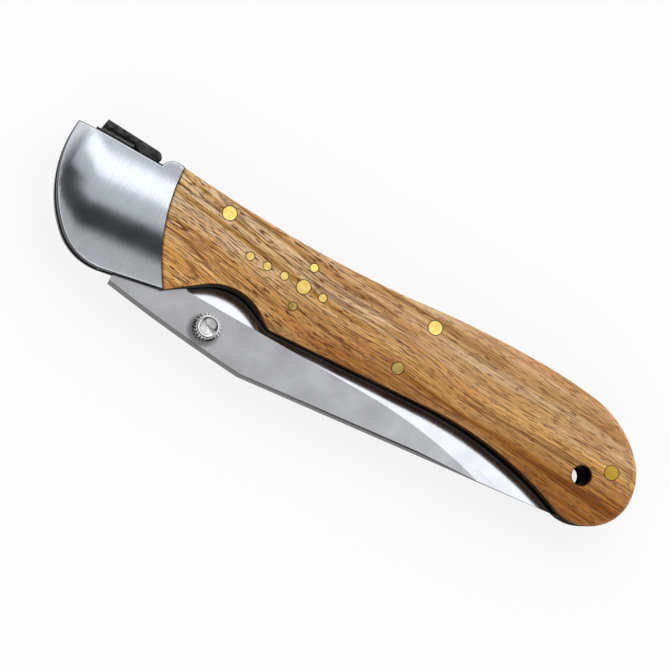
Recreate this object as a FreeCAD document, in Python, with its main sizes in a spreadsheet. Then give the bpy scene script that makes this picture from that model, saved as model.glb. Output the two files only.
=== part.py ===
import FreeCAD, Part
import math
import os
import re
import Sketcher
from FreeCAD import Vector

# A front-release lockback pocket knife, closed.
# Plan positions are measured from the blade pivot: x towards the butt, y towards the back of the handle.
# Heights z are measured from the middle of the blade; the front side is +z.
SIZES = [
    # layers
    ("blade_thick", 2.6, "blade, at the spine"),
    ("washer_thick", 0.2, "washer beside the tang"),
    ("liner_thick", 1.0, "liner"),
    ("scale_thick", 4.4, "scale and bolster, at the crest of the crown"),
    ("pin_fit", 0.01, "play of a driven pin in its hole, on the radius"),
    ("run_fit", 0.05, "play of a turning hole on its pin, on the radius"),
    ("side_fit", 0.1, "play of the lock bar beside each liner"),
    # crown of the handle: a flat crest with a round on either side, bent along the handle
    ("crest_x", 52.0, "highest point of the crest line"),
    ("crest_y", 4.4, "highest point of the crest line"),
    ("crest_radius", 450.0, "bend of the crest line"),
    ("crest_half", 0.8, "half width of the flat crest"),
    ("crown_radius", 26.0, "round beside the crest"),
    ("crown_reach", 16.0, "reach of the crown form from the crest line"),
    ("crown_angle", 12.0, "swing of the crown form towards the butt"),
    ("nose_start", 3.0, "start of the falling nose ahead of the pivot"),
    ("nose_round", 14.5, "fall of the crest over the nose"),
    ("nose_angle", 60.0, "swing of the nose form"),
    ("scale_round", 1.5, "rounded edge of the scale"),
    ("bolster_round", 0.5, "softened front and lower edge of the bolster"),
    ("back_round", 0.4, "softened back edge of the bolster"),
    # outline of the handle
    ("nose_reach", 11.3, "front of the bolster ahead of the pivot"),
    ("nose_y", 8.4, "height of the foremost point"),
    ("front_radius", 22.3, "front of the bolster"),
    ("chin_radius", 10.9, "lower front of the bolster"),
    ("chin_drop", 11.0, "lowest point of the bolster under the pivot"),
    ("relief_y", 10.68, "back of the bolster under the thumb lip"),
    ("relief_end", 5.7, "end of that relief"),
    ("bump_x", 8.15, "crest of the bump behind the lip"),
    ("bump_y", 12.72, "crest of the bump behind the lip"),
    ("bump_radius", 2.7, "front of the bump"),
    ("valley_x", 36.0, "lowest point of the back"),
    ("valley_y", 11.42, "lowest point of the back"),
    ("hump_lead", 25.8, "highest point of the back ahead of the butt end"),
    ("hump_y", 14.35, "highest point of the back"),
    ("butt_reach", 109.8, "end of the butt behind the pivot"),
    ("butt_drop", 0.2, "end of the butt below the pivot"),
    ("butt_back", 100.0, "back behind its highest point"),
    ("butt_shoulder", 19.0, "upper shoulder of the butt"),
    ("butt_upper", 11.5, "upper round of the butt"),
    ("butt_lower", 8.1, "lower round of the butt"),
    ("belly_slope", 0.068, "rise of the belly edge towards the butt, per mm"),
    ("belly_radius", 70.8, "hollow of the belly edge ahead of the butt"),
    ("notch_end_x", 37.15, "rear corner of the thumb notch"),
    ("notch_end_drop", 5.35, "rear corner of the thumb notch below the pivot"),
    ("notch_x", 28.9, "deepest point of the thumb notch"),
    ("notch_drop", 2.0, "deepest point of the thumb notch below the pivot"),
    ("notch_radius", 10.0, "thumb notch"),
    ("notch_lip", 0.4, "ledge of the liner inside the thumb notch"),
    ("tip_x", 17.0, "front corner of the thumb notch"),
    ("tip_drop", 8.45, "front corner of the thumb notch below the pivot"),
    ("seam_x", 9.35, "foremost point of the joint of bolster and scale"),
    ("seam_y", 13.05, "foremost point of the joint of bolster and scale"),
    ("seam_radius", 35.0, "joint of bolster and scale"),
    ("seam_past", 1.0, "cut of that joint past the outline"),
    # blade
    ("shoulder_x", 7.9, "square shoulder behind the pivot"),
    ("shoulder_drop", 12.2, "spine corner of the shoulder below the pivot"),
    ("lock_floor", 9.3, "floor of the lock notch from the pivot"),
    ("tooth_x", 5.3, "wall of the tooth that the lug drops behind"),
    ("tang_radius", 8.35, "round end of the tang"),
    ("bow_radius", 14.6, "bowed underside of the tang, flush with the bolsters"),
    ("bow_drop", 10.8, "lowest point of that bow below the pivot"),
    ("kick_y", 4.4, "kick that meets the stop pin"),
    ("kick_end", 15.5, "end of the kick"),
    ("choil_end", 17.6, "start of the edge"),
    ("edge_y", 1.9, "straight cutting edge"),
    ("edge_end", 58.0, "end of the straight cutting edge"),
    ("point_lead", 7.8, "point of the blade ahead of the butt end"),
    ("point_drop", 8.02, "point of the blade below the pivot"),
    ("spine_x", 36.7, "hump of the spine"),
    ("blade_drop", 15.2, "hump of the spine below the pivot"),
    ("spine_radius", 350.0, "bow of the spine ahead of its hump"),
    ("grind_start", 21.5, "start of the hollow grind"),
    ("grind_height", 8.2, "hollow grind, from the edge"),
    ("hollow_radius", 110.0, "wheel of the hollow grind"),
    ("plunge_radius", 9.0, "run-out of the hollow grind"),
    ("runout_angle", 60.0, "swing of that run-out"),
    ("edge_half", 0.12, "half thickness at the edge"),
    # pivot
    ("pivot_radius", 2.0, "pivot pin"),
    ("washer_radius", 5.5, "washer"),
    ("blind_depth", 2.0, "pins inside a bolster"),
    ("bolster_pin", 0.9, "hidden bolster pin, radius"),
    ("bolster_pin_front", 5.5, "front bolster pin ahead of the pivot"),
    ("bolster_pin_high", 6.5, "front bolster pin above the pivot"),
    ("bolster_pin_back", 9.3, "rear bolster pin behind the pivot"),
    ("bolster_pin_low", 5.0, "rear bolster pin below the pivot"),
    ("stop_radius", 1.0, "stop pin"),
    ("stop_x", 13.0, "stop pin"),
    ("stop_gap", 0.03, "kick to stop pin"),
    # thumb stud
    ("stud_x", 27.3, "thumb stud"),
    ("stud_drop", 10.3, "thumb stud below the pivot"),
    ("stud_radius", 2.6, "thumb stud at its collar"),
    ("stud_top", 2.15, "thumb stud at its top, radius"),
    ("stud_collar", 1.3, "collar height"),
    ("stud_height", 3.3, "thumb stud above the blade"),
    ("dish_radius", 1.65, "dished top"),
    ("dish_depth", 0.9, "dished top"),
    ("shank_radius", 1.2, "shank of the stud"),
    ("shank_end", 2.0, "shank inside the far stud"),
    ("knurl_count", 22.0, "knurls of the stud"),
    ("knurl_depth", 0.2, "knurls of the stud"),
    ("knurl_half", 0.32, "half width of a knurl at the rim"),
    # lock bar
    ("nose_gap", 0.12, "lug to shoulder and tooth"),
    ("lug_y", 9.6, "bottom of the lug"),
    ("roof_gap", 0.12, "recess over the bow of the open tang"),
    ("web_y", 8.6, "underside of the bar behind the recess"),
    ("strip_y", 11.5, "top of the bar under the lip"),
    ("slit", 0.35, "slit under the lip"),
    ("nub_y", 11.4, "bar between lip and bump"),
    ("lip_front", 6.95, "front of the thumb lip ahead of the pivot"),
    ("lip_back", 5.2, "rear end of the thumb lip behind the pivot"),
    ("lip_rake", 0.3, "backward lean of the front of the thumb lip"),
    ("lip_high", 13.42, "front edge of the thumb lip"),
    ("lip_low", 12.95, "rear end of the thumb lip"),
    ("lip_half", 3.5, "half width of the thumb lip"),
    ("lip_round", 1.3, "rear end of the thumb lip, rounding"),
    ("lip_seat", 0.02, "lip over the relief of the bolsters"),
    ("lip_edge", 0.5, "softened edges of the lip"),
    ("back_inset", 0.1, "bar below the back edge of the liners"),
    ("rocker_x", 20.5, "front rivet, on which the lock bar rocks"),
    ("rocker_y", 9.25, "front rivet"),
    ("boss_radius", 2.9, "bar around the front rivet"),
    ("tail_end", 34.5, "tail of the lock bar"),
    ("tail_y", 7.6, "underside of the tail"),
    # spring and spacer
    ("spring_thick", 0.8, "leaf spring"),
    ("spring_gap", 0.05, "leaf spring to tail"),
    ("spring_tip", 26.5, "free end of the leaf spring"),
    ("spring_root", 50.0, "fixed end of the leaf spring"),
    ("spacer_gap", 0.6, "tail to spacer"),
    ("spacer_clear", 1.6, "edge of the blade to spacer"),
    # rivets and pins
    ("rivet_radius", 1.28, "through rivet"),
    ("middle_x", 63.1, "middle rivet"),
    ("middle_y", 9.9, "middle rivet"),
    ("butt_rivet_lead", 5.7, "butt rivet ahead of the butt end"),
    ("butt_rivet_y", 3.0, "butt rivet"),
    ("belly_rivet_x", 60.7, "belly rivet"),
    ("belly_rivet_y", 0.1, "belly rivet"),
    ("belly_rivet_radius", 1.05, "belly rivet"),
    ("cross_x", 38.6, "centre pin of the cross"),
    ("cross_y", 4.3, "centre pin of the cross"),
    ("cross_radius", 1.25, "centre pin of the cross"),
    ("cross_arm", 4.0, "centre pin to the pins around it"),
    ("cross_pitch", 3.55, "spacing of the pins along the shaft"),
    ("small_radius", 0.72, "small pin of the cross"),
    ("hole_lead", 10.3, "lanyard hole ahead of the butt end"),
    ("hole_drop", 0.15, "lanyard hole below the pivot"),
    ("hole_radius", 1.83, "lanyard hole"),
]

# Sizes that follow from the others.
SLOT_HALF = "(blade_thick / 2 + washer_thick)"
LINER_OUT = "(blade_thick / 2 + washer_thick + liner_thick)"
CROWN_TOP = "(blade_thick / 2 + washer_thick + liner_thick + scale_thick)"
HUMP_X = "(butt_reach - hump_lead)"
SLANT = "sqrt(1 + belly_slope^2)"
BELLY_X = "(notch_end_x + belly_radius * belly_slope / %s)" % SLANT
BELLY_Y = "(-notch_end_drop - belly_radius / %s)" % SLANT
BELLY_RUN = "(((butt_reach - butt_lower - %s) - (butt_drop + %s) * belly_slope) / %s)" % (BELLY_X, BELLY_Y, SLANT)
BELLY_OFF = "(((butt_reach - butt_lower - %s) * belly_slope + butt_drop + %s) / %s)" % (BELLY_X, BELLY_Y, SLANT)
HOLLOW = "(%s - sqrt((belly_radius + butt_lower)^2 - %s^2))" % (BELLY_RUN, BELLY_OFF)
HOLLOW_X = "(%s + %s / %s)" % (BELLY_X, HOLLOW, SLANT)
HOLLOW_Y = "(%s + %s * belly_slope / %s)" % (BELLY_Y, HOLLOW, SLANT)
POINT_X = "(butt_reach - point_lead)"
BUTT_RIVET_X = "(butt_reach - butt_rivet_lead)"
HOLE_X = "(butt_reach - hole_lead)"
NOSE_SINE = "((crest_x + nose_start) / crest_radius)"
NOSE_COSINE = "sqrt(1 - %s^2)" % NOSE_SINE
SWING_Y = "(crest_y - crest_radius)"
BOW_Y = "(bow_radius - bow_drop)"
BOW_X = "sqrt((bow_radius - tang_radius)^2 - (bow_radius - bow_drop)^2)"
EDGE_RADIUS = "(((%s - edge_end)^2 + (edge_y + point_drop)^2) / (2 * (edge_y + point_drop)))" % POINT_X
# The pivot sits here in the frame of the whole knife, whose origin is under the middle of its box.
FRAME = ("(nose_reach - butt_reach) / 2", "(blade_drop - hump_y) / 2", CROWN_TOP)

doc = FreeCAD.newDocument("pocket_knife")
sheet = doc.addObject("Spreadsheet::Sheet", "Sizes")
for row, (alias, number, words) in enumerate(SIZES, start=1):
    sheet.set("A%d" % row, words)
    sheet.set("B%d" % row, str(number))
    sheet.setAlias("B%d" % row, alias)
doc.recompute()
ALIASES = {alias for alias, number, words in SIZES}


def sized(text):
    """A formula of named sizes, written the way the sheet is addressed."""
    def full(match):
        word = match.group()
        return "Sizes." + word if word in ALIASES else word
    return re.sub(r"[a-z][a-z_]*", full, text)


def value(text):
    """The number that such a formula gives."""
    return float(sheet.evalExpression(sized(text)))


def spot(x, y):
    """A point in plan from two formulas."""
    return Vector(value(x), value(y), 0)


def place(thing, x="0", y="0", z="0"):
    """Ties the placement of an object to the pivot."""
    for axis, base, own in zip("xyz", FRAME, (x, y, z)):
        thing.setExpression("Placement.Base." + axis, sized("%s + (%s)" % (base, own)))


# Sketch helpers

def polar(centre, radius, angle):
    return centre + Vector(radius * math.cos(angle), radius * math.sin(angle), 0)


def angle_of(vector):
    return math.atan2(vector.y, vector.x)


def centre_between(start, end, radius, turn):
    """Centre of the short arc from start to end; turn 1 bends left and -1 bends right."""
    half = (end - start) * 0.5
    rise = math.sqrt(radius ** 2 - half.Length ** 2)
    left = Vector(-half.y, half.x, 0) * (1 / half.Length)
    return start + half + left * (turn * rise)


def touch_point(point, centre, radius, turn):
    """Where a straight line from a point touches a circle."""
    away = point - centre
    swing = math.acos(radius / away.Length)
    return polar(centre, radius, angle_of(away) + turn * swing)


def meeting(first, first_radius, second, second_radius):
    """The crossing of two circles that lies left of the way from the first to the second."""
    way = second - first
    reach = (way.Length ** 2 + first_radius ** 2 - second_radius ** 2) / (2 * way.Length)
    aside = math.sqrt(first_radius ** 2 - reach ** 2)
    left = Vector(-way.y, way.x, 0) * (1 / way.Length)
    return along(first, second, reach) + left * aside


def along(start, end, distance):
    """The point at a distance from start on the way to end."""
    return start + (end - start) * (distance / (end - start).Length)


def new_sketch(body, name, role="XY_Plane", shift=("0", "0", "0")):
    """A sketch on a plane of the body's own origin, moved along that plane's axes."""
    sketch = body.newObject("Sketcher::SketchObject", name)
    plane = [item for item in body.Origin.OriginFeatures if item.Role == role][0]
    sketch.AttachmentSupport = [(plane, "")]
    sketch.MapMode = "FlatFace"
    for axis, text in zip("xyz", shift):
        sketch.setExpression("AttachmentOffset.Base." + axis, sized(text))
    return sketch


def trace(sketch, start, steps, closed=True):
    """Draws lines and arcs end to end.

    A step is (end, centre, turn, joint): no centre makes a line, and the joint
    with the next step is "smooth" or "corner".
    Returns, for each step, its geometry number and the numbers of its two ends.
    """
    ends = []
    here = start
    for end, centre, turn, joint in steps:
        if centre is None:
            ends.append((sketch.addGeometry(Part.LineSegment(here, end)), 1, 2))
        else:
            circle = Part.Circle(centre, Vector(0, 0, 1), (here - centre).Length)
            angles = [angle_of(here - centre), angle_of(end - centre)]
            if turn > 0:
                ends.append((sketch.addGeometry(Part.ArcOfCircle(circle, *angles)), 1, 2))
            else:
                ends.append((sketch.addGeometry(Part.ArcOfCircle(circle, *reversed(angles))), 2, 1))
        here = end
    followers = ends[1:] + ends[:1] if closed else ends[1:]
    for (geo, head, tail), (next_geo, next_head, next_tail), step in zip(ends, followers, steps):
        kind = "Tangent" if step[3] == "smooth" else "Coincident"
        sketch.addConstraint(Sketcher.Constraint(kind, geo, tail, next_geo, next_head))
    return ends


def tie(sketch, kind, refs, text):
    """A dimension of the sketch, bound to a formula of named sizes."""
    number = sketch.addConstraint(Sketcher.Constraint(kind, *refs, value(text)))
    sketch.setExpression("Constraints[%d]" % number, sized(text))


def fix_point(sketch, refs, x=None, y=None):
    if x is not None:
        tie(sketch, "DistanceX", refs, x)
    if y is not None:
        tie(sketch, "DistanceY", refs, y)


def fix_end(sketch, end, x=None, y=None):
    """Ties the far end of a step."""
    fix_point(sketch, (end[0], end[2]), x, y)


def fix_centre(sketch, end, x=None, y=None):
    """Ties the centre of an arc."""
    fix_point(sketch, (end[0], 3), x, y)


def fix_radius(sketch, end, text):
    tie(sketch, "Radius", (end[0],), text)


def line_up(sketch, kind, end, at_tail=True):
    """Sets the centre of an arc square above or beside one of its ends."""
    sketch.addConstraint(Sketcher.Constraint(kind, end[0], 3, end[0], end[2] if at_tail else end[1]))


def polygon(sketch, corners):
    """A closed loop of straight lines through tied corners."""
    points = [spot(*corner) for corner in corners]
    steps = [(point, None, 0, "corner") for point in points[1:] + points[:1]]
    ends = trace(sketch, points[0], steps)
    for end, corner in zip(ends, corners[1:] + corners[:1]):
        fix_end(sketch, end, *corner)
    return ends


def ring(sketch, x, y, radius):
    """A full circle."""
    circle = Part.Circle(spot(x, y), Vector(0, 0, 1), value(radius))
    geo = sketch.addGeometry(circle)
    tie(sketch, "Radius", (geo,), radius)
    fix_point(sketch, (geo, 3), x, y)


# Feature helpers

def new_body(name):
    body = doc.addObject("PartDesign::Body", name)
    place(body)
    return body


def pad(body, sketch, length, both_sides=False):
    feature = body.newObject("PartDesign::Pad", sketch.Name + "_pad")
    feature.Profile = sketch
    if both_sides:
        feature.SideType = "Symmetric"
    feature.setExpression("Length", sized(length))
    return feature


def pocket(body, sketch):
    """Cuts a sketch through the whole body, both ways."""
    feature = body.newObject("PartDesign::Pocket", sketch.Name + "_pocket")
    feature.Profile = sketch
    feature.SideType = "Symmetric"
    feature.Type = "ThroughAll"
    return feature


def rod(name, x, y, radius, bottom, top):
    """An upright cylinder between two heights."""
    item = doc.addObject("Part::Cylinder", name)
    item.setExpression("Radius", sized(radius))
    item.setExpression("Height", sized("(%s) - (%s)" % (top, bottom)))
    place(item, x, y, bottom)
    return item


def group(name, items):
    item = doc.addObject("Part::Compound", name)
    item.Links = items
    return item


def cut(name, base, tools):
    item = doc.addObject("Part::Cut", name)
    item.Base = base
    item.Tool = group(name + "_holes", tools)
    return item


def common(name, base, tool):
    item = doc.addObject("Part::Common", name)
    item.Base = base
    item.Tool = tool
    return item


def fused(name, base, tool):
    item = doc.addObject("Part::Fuse", name)
    item.Base = base
    item.Tool = tool
    return item


def mirrored(name, source):
    """The same piece on the far side of the blade."""
    item = doc.addObject("Part::Mirroring", name)
    item.Source = source
    item.Normal = Vector(0, 0, 1)
    item.setExpression("Base.z", sized(FRAME[2]))
    return item


# Handle outline

def handle_outline(sketch, ledge="0"):
    """The outline of the handle; a ledge makes the thumb notch shallower."""
    front = Vector(value("front_radius - nose_reach"), value("nose_y"), 0)
    corner_rise = value("relief_y - nose_y")
    front_round = value("front_radius")
    corner = front + Vector(-math.sqrt(front_round ** 2 - corner_rise ** 2), corner_rise, 0)
    relief = spot("relief_end", "relief_y")
    bump = spot("bump_x", "bump_y")
    bump_centre = centre_between(relief, bump, value("bump_radius"), -1)

    valley = spot("valley_x", "valley_y")
    run = valley - bump
    waist = valley + Vector(0, (run.x ** 2 + run.y ** 2) / (-2 * run.y), 0)
    hump = spot(HUMP_X, "hump_y")
    climb = hump - valley
    sway = (climb.x ** 2 + climb.y ** 2) / (4 * climb.y)
    middle = (valley + hump) * 0.5

    butt = spot("butt_reach", "-butt_drop")
    upper = value("butt_upper")
    lower = value("butt_lower")
    upper_centre = butt - Vector(upper, 0, 0)
    lower_centre = butt - Vector(lower, 0, 0)
    back = value("butt_back")
    bend = value("butt_shoulder")
    back_centre = hump - Vector(0, back, 0)
    bend_centre = meeting(back_centre, back - bend, upper_centre, bend - upper)
    shoulder = along(back_centre, bend_centre, back)
    haunch = along(bend_centre, upper_centre, bend)

    sweep_centre = spot(HOLLOW_X, HOLLOW_Y)
    under = along(lower_centre, sweep_centre, lower)
    notch_end = spot("notch_end_x", "-notch_end_drop")
    belly_touch = touch_point(notch_end, sweep_centre, value("belly_radius"), -1)

    notch_round = value("notch_radius - (%s)" % ledge)
    notch_centre = spot("notch_x", "-notch_drop - notch_radius")
    notch_right = touch_point(notch_end, notch_centre, notch_round, 1)
    tip = spot("tip_x", "-tip_drop")
    notch_left = touch_point(tip, notch_centre, notch_round, -1)

    chin = value("chin_radius")
    chin_rise = value("chin_radius - chin_drop - nose_y")
    chin_run = math.sqrt((front_round - chin) ** 2 - chin_rise ** 2)
    chin_centre = front + Vector(-chin_run, chin_rise, 0)
    heel = touch_point(tip, chin_centre, chin, -1)
    cheek = along(front, chin_centre, front_round)

    ends = trace(sketch, corner, [
        (relief, None, 0, "corner"),
        (bump, bump_centre, -1, "corner"),
        (valley, waist, 1, "corner"),
        (middle, valley + Vector(0, sway, 0), 1, "smooth"),
        (hump, hump - Vector(0, sway, 0), -1, "corner"),
        (shoulder, back_centre, -1, "smooth"),
        (haunch, bend_centre, -1, "smooth"),
        (butt, upper_centre, -1, "corner"),
        (under, lower_centre, -1, "smooth"),
        (belly_touch, sweep_centre, 1, "smooth"),
        (notch_end, None, 0, "corner"),
        (notch_right, None, 0, "smooth"),
        (notch_left, notch_centre, 1, "smooth"),
        (tip, None, 0, "corner"),
        (heel, None, 0, "smooth"),
        (cheek, chin_centre, -1, "smooth"),
        (corner, front, -1, "corner"),
    ])
    fix_end(sketch, ends[0], "relief_end", "relief_y")
    fix_end(sketch, ends[1], "bump_x", "bump_y")
    fix_radius(sketch, ends[1], "bump_radius")
    fix_end(sketch, ends[2], "valley_x", "valley_y")
    line_up(sketch, "Vertical", ends[2])
    line_up(sketch, "Vertical", ends[3], False)
    line_up(sketch, "Vertical", ends[4])
    fix_end(sketch, ends[4], HUMP_X, "hump_y")
    sketch.addConstraint(Sketcher.Constraint("Equal", ends[3][0], ends[4][0]))
    line_up(sketch, "Vertical", ends[5], False)
    fix_radius(sketch, ends[5], "butt_back")
    fix_radius(sketch, ends[6], "butt_shoulder")
    fix_end(sketch, ends[7], "butt_reach", "-butt_drop")
    line_up(sketch, "Horizontal", ends[7])
    fix_radius(sketch, ends[7], "butt_upper")
    line_up(sketch, "Horizontal", ends[8], False)
    fix_radius(sketch, ends[8], "butt_lower")
    fix_radius(sketch, ends[9], "belly_radius")
    fix_centre(sketch, ends[9], HOLLOW_X)
    fix_end(sketch, ends[10], "notch_end_x", "-notch_end_drop")
    fix_centre(sketch, ends[12], "notch_x", "-notch_drop - notch_radius")
    fix_radius(sketch, ends[12], "notch_radius - (%s)" % ledge)
    fix_end(sketch, ends[13], "tip_x", "-tip_drop")
    fix_radius(sketch, ends[15], "chin_radius")
    fix_centre(sketch, ends[15], None, "chin_radius - chin_drop")
    fix_centre(sketch, ends[16], "front_radius - nose_reach", "nose_y")
    fix_radius(sketch, ends[16], "front_radius")
    fix_end(sketch, ends[16], None, "relief_y")


def seam_cut(body, name, far_x):
    """Cuts a handle blank along the joint of bolster and scale, up to far_x."""
    sketch = new_sketch(body, name)
    high = "hump_y + seam_past"
    low = "-chin_drop - seam_past"
    swing = "seam_x + seam_radius - sqrt(seam_radius^2 - (%s - seam_y)^2)"
    top = spot(swing % ("(%s)" % high), high)
    bottom = spot(swing % ("(%s)" % low), low)
    ends = trace(sketch, top, [
        (bottom, spot("seam_x + seam_radius", "seam_y"), 1, "corner"),
        (spot(far_x, low), None, 0, "corner"),
        (spot(far_x, high), None, 0, "corner"),
        (top, None, 0, "corner"),
    ])
    fix_radius(sketch, ends[0], "seam_radius")
    fix_centre(sketch, ends[0], "seam_x + seam_radius", "seam_y")
    fix_end(sketch, ends[0], None, low)
    fix_end(sketch, ends[1], far_x, low)
    fix_end(sketch, ends[2], far_x, high)
    fix_end(sketch, ends[3], None, high)
    pocket(body, sketch)


def crown_form():
    """The crowned outside of the handle behind the nose: one section, swung along the crest line."""
    body = new_body("handle_form")
    sketch = new_sketch(body, "crown_section", "YZ_Plane", (SWING_Y, "0", "crest_x"))
    near = "crest_radius - crown_reach"
    far = "crest_radius + crown_reach"
    left = "crest_radius - crest_half"
    right = "crest_radius + crest_half"
    fall = "(%s - crown_radius + sqrt(crown_radius^2 - (crown_reach - crest_half)^2))" % CROWN_TOP
    hub = "%s - crown_radius" % CROWN_TOP
    low_hub = "crown_radius - %s" % CROWN_TOP
    ends = trace(sketch, spot(near, fall), [
        (spot(left, CROWN_TOP), spot(left, hub), -1, "corner"),
        (spot(right, CROWN_TOP), None, 0, "corner"),
        (spot(far, fall), spot(right, hub), -1, "corner"),
        (spot(far, "-" + fall), None, 0, "corner"),
        (spot(right, "-" + CROWN_TOP), spot(right, low_hub), -1, "corner"),
        (spot(left, "-" + CROWN_TOP), None, 0, "corner"),
        (spot(near, "-" + fall), spot(left, low_hub), -1, "corner"),
        (spot(near, fall), None, 0, "corner"),
    ])
    for number, x, y in ((0, left, CROWN_TOP), (1, right, CROWN_TOP), (4, right, "-" + CROWN_TOP),
                         (5, left, "-" + CROWN_TOP), (2, far, fall), (3, far, "-" + fall),
                         (6, near, "-" + fall), (7, near, fall)):
        fix_end(sketch, ends[number], x, y)
    for number in (0, 2, 4, 6):
        fix_radius(sketch, ends[number], "crown_radius")
    swing = body.newObject("PartDesign::Revolution", "crown_swing")
    swing.Profile = sketch
    swing.ReferenceAxis = (sketch, ["V_Axis"])
    swing.Type = "TwoAngles"
    swing.setExpression("Angle", sized("asin(%s)" % NOSE_SINE))
    swing.setExpression("Angle2", sized("crown_angle"))
    return body


def nose_form():
    """The crown ahead of that: its section on the near side, tipped over about a level line under the crest."""
    body = doc.addObject("PartDesign::Body", "nose_form")
    place(body, "crest_x * (1 - %s) + %s * %s" % (NOSE_COSINE, SWING_Y, NOSE_SINE),
          "%s * (1 - %s) - crest_x * %s" % (SWING_Y, NOSE_COSINE, NOSE_SINE))
    body.setExpression("Placement.Rotation.Angle", sized("asin(%s)" % NOSE_SINE))
    sketch = new_sketch(body, "nose_section", "YZ_Plane", (SWING_Y, "%s - nose_round" % CROWN_TOP, "crest_x"))
    near = "crest_radius - crown_reach"
    far = "crest_radius + crown_reach"
    left = "crest_radius - crest_half"
    right = "crest_radius + crest_half"
    base = "nose_round - %s" % CROWN_TOP
    hub = "nose_round - crown_radius"
    fall = "%s + sqrt(crown_radius^2 - (crown_reach - crest_half)^2)" % hub
    ends = trace(sketch, spot(near, base), [
        (spot(near, fall), None, 0, "corner"),
        (spot(left, "nose_round"), spot(left, hub), -1, "corner"),
        (spot(right, "nose_round"), None, 0, "corner"),
        (spot(far, fall), spot(right, hub), -1, "corner"),
        (spot(far, base), None, 0, "corner"),
        (spot(near, base), None, 0, "corner"),
    ])
    for number, x, y in ((0, near, fall), (1, left, "nose_round"), (2, right, "nose_round"), (3, far, fall),
                         (4, far, base), (5, near, base)):
        fix_end(sketch, ends[number], x, y)
    for number in (1, 3):
        fix_radius(sketch, ends[number], "crown_radius")
    tip = body.newObject("PartDesign::Revolution", "nose_tip")
    tip.Profile = sketch
    tip.ReferenceAxis = (sketch, ["H_Axis"])
    tip.Reversed = True
    tip.setExpression("Angle", sized("nose_angle"))
    return body


def outer_edges(shape, skip):
    """The edges where the crown meets the wall of the outline, without those that skip names."""
    base_z = value(FRAME[2]) + value(LINER_OUT)
    shift = Vector(value(FRAME[0]), value(FRAME[1]), 0)
    found = []
    for number, edge in enumerate(shape.Edges, start=1):
        box = edge.BoundBox
        upright = max(box.XLength, box.YLength) < 0.001
        if box.ZMin < base_z + 0.1 or upright:
            continue
        sides = shape.ancestorsOfType(edge, Part.Face)
        walls = [face for face in sides if face.BoundBox.ZMin < base_z + 0.001]
        middle = edge.valueAt((edge.FirstParameter + edge.LastParameter) / 2) - shift
        if walls and not skip(middle):
            found.append(number)
    return found


def softened(name, base, radius, skip):
    """Rounds the outer edges of a crowned piece."""
    doc.recompute()
    item = doc.addObject("Part::Fillet", name)
    item.Base = base
    item.Edges = [(number, value(radius), value(radius)) for number in outer_edges(base.Shape, skip)]
    return item


def on_seam(point):
    """True near the joint of bolster and scale."""
    centre = spot("seam_x + seam_radius", "seam_y")
    flat = Vector(point.x, point.y, 0)
    return abs((flat - centre).Length - value("seam_radius")) < 0.05


def in_notch(point):
    """True on the sides of the thumb notch and ahead of it."""
    return point.x < value("notch_end_x") - 0.01 and point.y < value("crest_y")


def on_back(point):
    """True on the back of the bolster."""
    return point.y > value("relief_y") - 0.01


# Layers of the handle

def outline_blank(name, z, thick, both_sides=False, ledge="0"):
    body = new_body(name)
    sketch = new_sketch(body, name + "_outline", "XY_Plane", ("0", "0", z))
    handle_outline(sketch, ledge)
    pad(body, sketch, thick, both_sides)
    return body


form = crown_form()

RIVETS = (
    ("rivet_front", "rocker_x", "rocker_y"),
    ("rivet_middle", "middle_x", "middle_y"),
    ("rivet_butt", BUTT_RIVET_X, "butt_rivet_y"),
)
CROSS = [
    ("cross_x + cross_arm", "cross_y"),
    ("cross_x", "cross_y + cross_arm"),
    ("cross_x", "cross_y - cross_arm"),
    ("cross_x - cross_arm", "cross_y"),
    ("cross_x - cross_arm - cross_pitch", "cross_y"),
    ("cross_x - cross_arm - 2 * cross_pitch", "cross_y"),
]
BOLSTER_PINS = [
    ("-bolster_pin_front", "bolster_pin_high"),
    ("bolster_pin_back", "-bolster_pin_low"),
]
OUT = CROWN_TOP + " + 1"


def drill(name, x, y, radius, bottom="-(%s)" % OUT, top=OUT):
    """A hole, as the rod that it removes."""
    return rod(name + "_drill", x, y, radius, bottom, top)


rivet_drills = [drill(name, x, y, "rivet_radius + pin_fit") for name, x, y in RIVETS]
lanyard_drill = drill("lanyard", HOLE_X, "-hole_drop", "hole_radius")
belly_drill = drill("belly_rivet", "belly_rivet_x", "belly_rivet_y", "belly_rivet_radius + pin_fit")
pivot_drill = drill("pivot", "0", "0", "pivot_radius + pin_fit", "0", LINER_OUT + " + blind_depth")
STOP_Y = "kick_y + stop_gap + stop_radius"
stop_drill = drill("stop", "stop_x", STOP_Y, "stop_radius + pin_fit")
bolster_drills = []
for number, (x, y) in enumerate(BOLSTER_PINS):
    bolster_drills.append(drill("bolster_pin_%d" % number, x, y, "bolster_pin + pin_fit", "0",
                                LINER_OUT + " + blind_depth"))

liner_blank = outline_blank("liner_blank", SLOT_HALF, "liner_thick", ledge="notch_lip")
liner_front = cut("liner_front", liner_blank,
                  rivet_drills + bolster_drills + [lanyard_drill, belly_drill, pivot_drill, stop_drill])
liner_rear = mirrored("liner_rear", liner_front)

bolster_blank = outline_blank("bolster_blank", LINER_OUT, "scale_thick + 1")
seam_cut(bolster_blank, "bolster_seam", "butt_reach + nose_reach")
bolster_crowned = common("bolster_crowned", bolster_blank, fused("bolster_form", form, nose_form()))
bolster_lower = softened("bolster_lower", bolster_crowned, "bolster_round",
                         lambda point: on_seam(point) or on_back(point))
bolster_soft = softened("bolster_soft", bolster_lower, "back_round",
                        lambda point: on_seam(point) or not on_back(point))
bolster_front = cut("bolster_front", bolster_soft, bolster_drills + [pivot_drill])
bolster_rear = mirrored("bolster_rear", bolster_front)

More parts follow.
